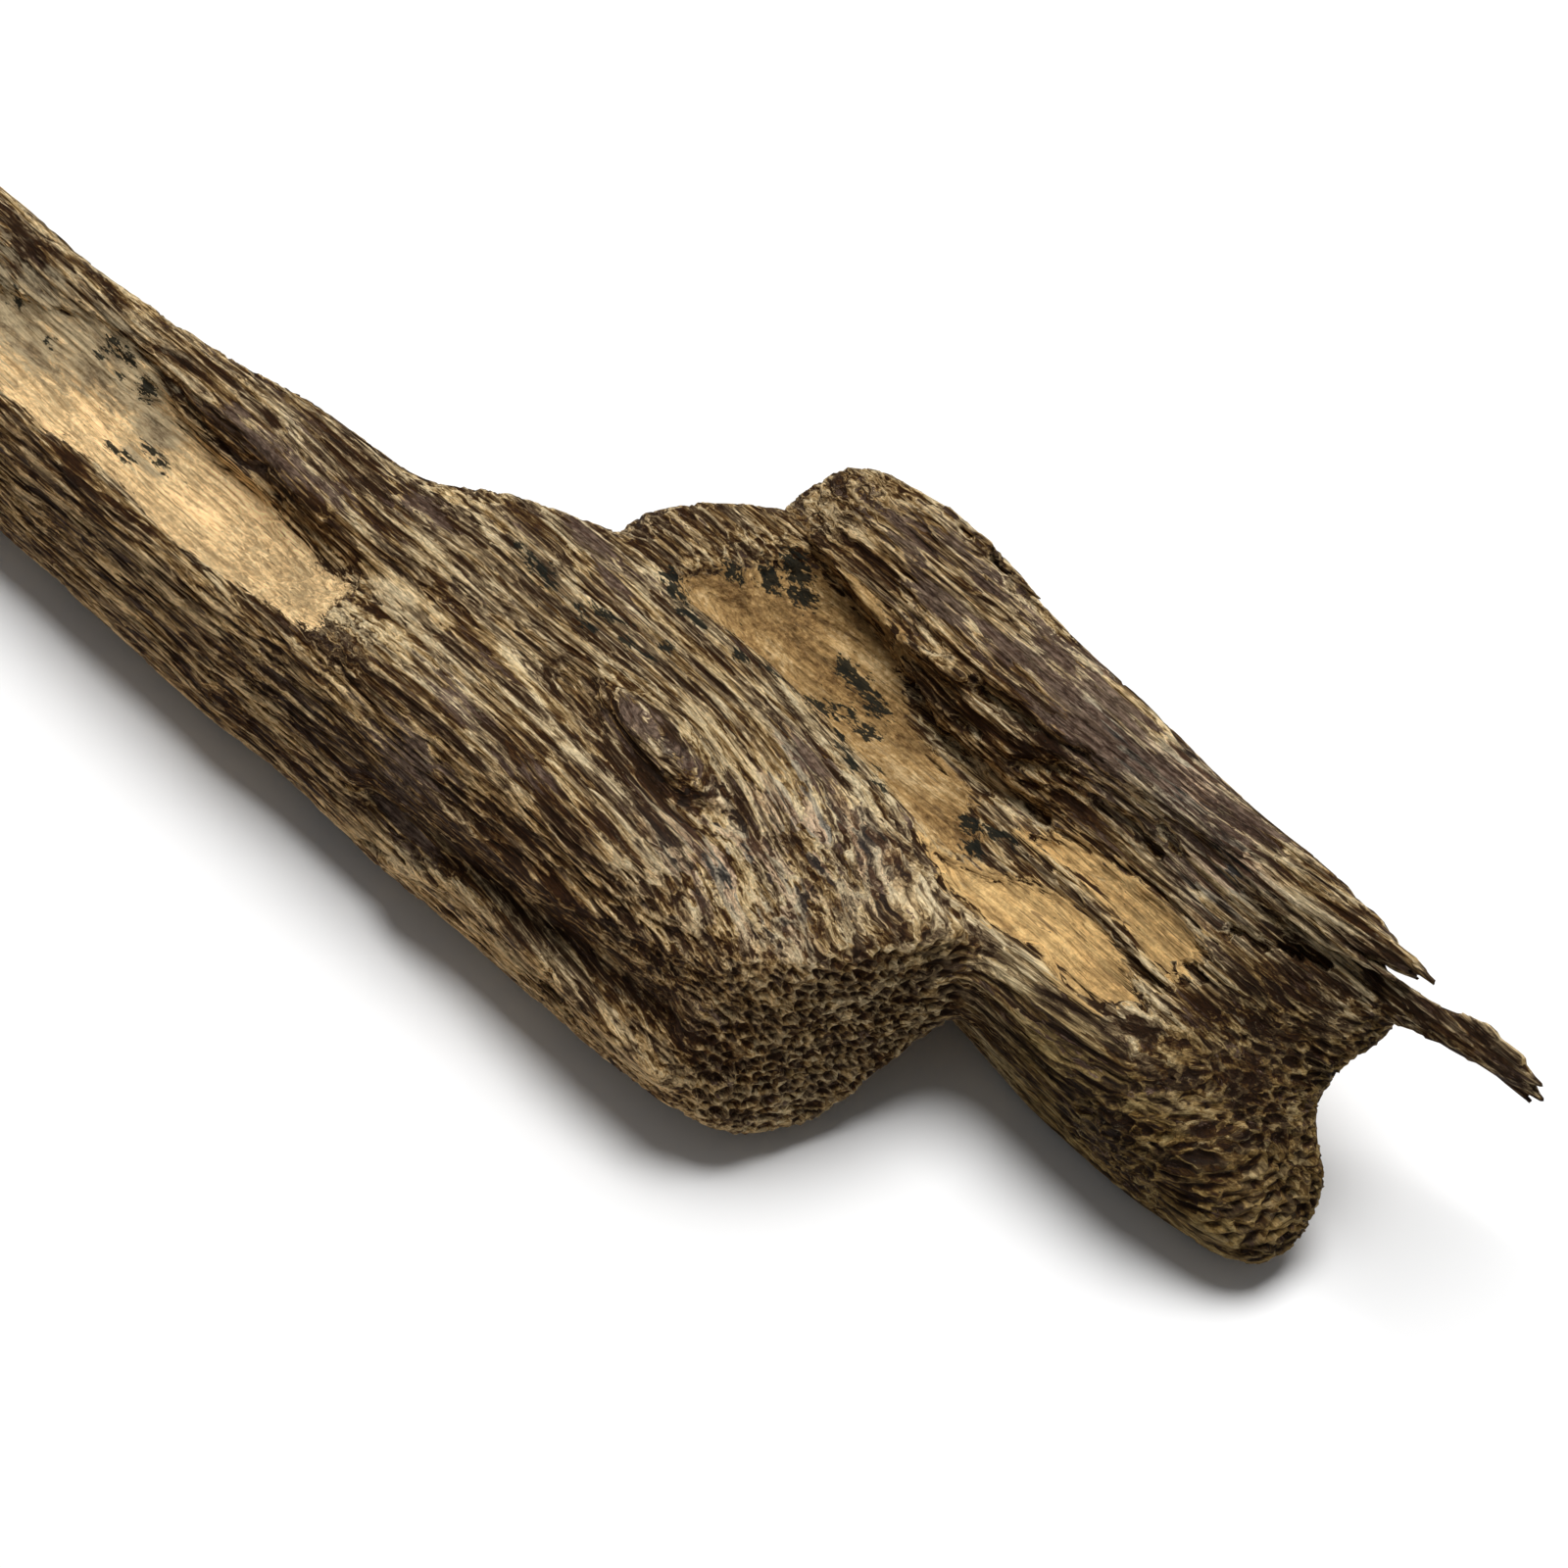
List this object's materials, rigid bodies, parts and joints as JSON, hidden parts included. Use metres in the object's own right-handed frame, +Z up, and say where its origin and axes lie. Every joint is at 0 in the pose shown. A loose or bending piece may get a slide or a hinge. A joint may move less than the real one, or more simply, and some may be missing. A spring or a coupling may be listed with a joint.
{
  "type": "piece of agarwood",
  "caption": "Weathered, resin-veined chunk of agarwood: a stem that widens into blunt lobes, a hollow and a ridge drawn out to splinters, lying flat.",
  "frame": {"origin": "middle of the bounding box's bottom, on the surface that the piece rests on", "axes": "+X along the grain towards the broken, splintered end; +Y towards the ridge's side; +Z up from the worn rest patches"},
  "size_m": [0.1554, 0.042, 0.0205],
  "materials": {
    "agarwood": "raw, fibrous and matt, with a faint resin sheen"
  },
  "bodies": {
    "root": {"agarwood": "agarwood"}
  },
  "joints": []
}
